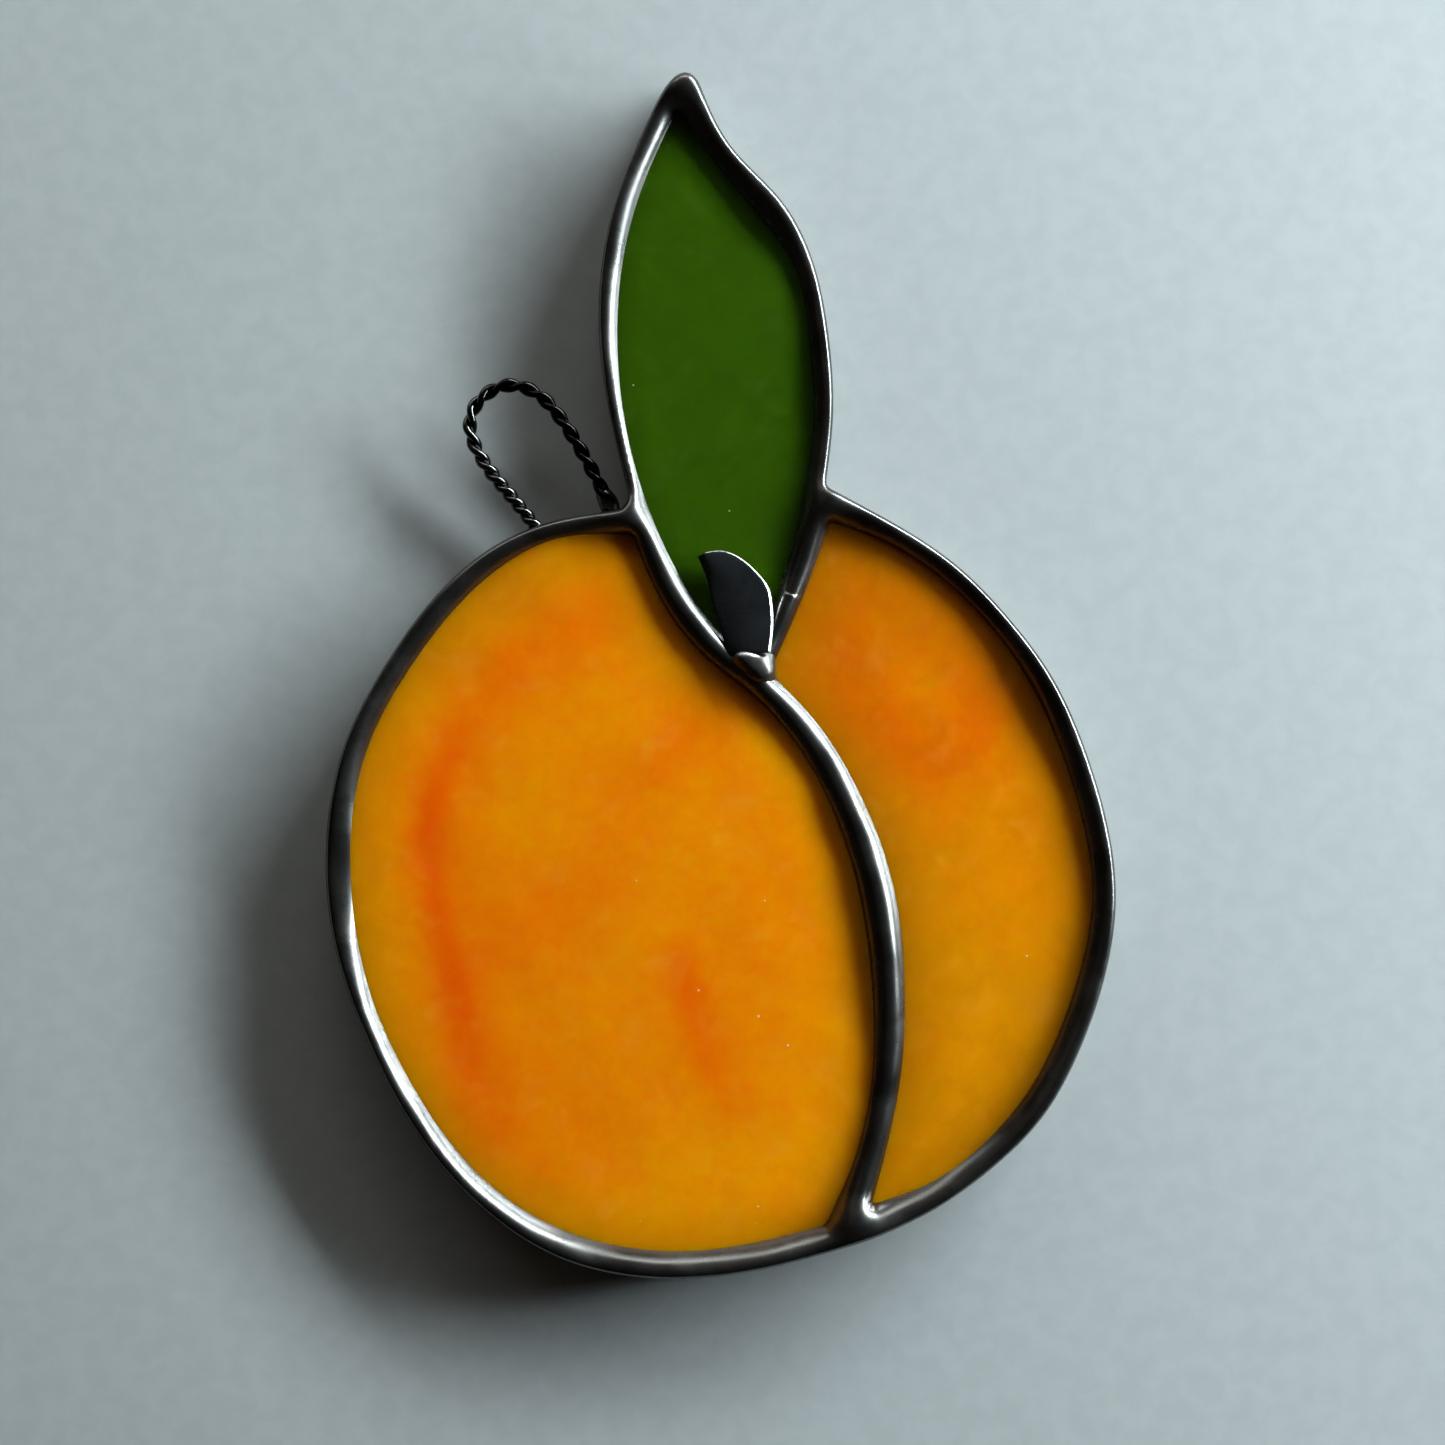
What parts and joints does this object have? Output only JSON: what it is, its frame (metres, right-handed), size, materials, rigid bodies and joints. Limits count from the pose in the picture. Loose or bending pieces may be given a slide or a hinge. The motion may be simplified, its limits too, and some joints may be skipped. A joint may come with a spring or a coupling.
{
  "type": "stained-glass peach suncatcher",
  "caption": "Small stained-glass ornament in the shape of a peach: orange and green panes in a net of blackened solder, with a metal stem and a twisted wire loop to hang it by.",
  "frame": {"origin": "on the surface the suncatcher lies on, under the middle of its box", "axes": "+Z out of the front, square to the panes; +Y from the fruit's foot towards the leaf's tip; +X to the right, towards the narrow pane"},
  "size_m": [0.0828, 0.1261, 0.007],
  "materials": {
    "orange_glass": "gloss",
    "green_glass": "gloss",
    "copper_foil": "satin",
    "black_patina": "satin",
    "stem_sheet": "matte",
    "wire": "satin"
  },
  "bodies": {
    "root": {"left_lobe_glass": "orange_glass", "right_lobe_glass": "orange_glass", "leaf_glass": "green_glass", "left_lobe_foil": "copper_foil", "right_lobe_foil": "copper_foil", "leaf_foil": "copper_foil", "solder_net": "black_patina", "stem_blade": "stem_sheet", "wire_strand_a": "wire", "wire_strand_b": "wire"}
  },
  "joints": []
}
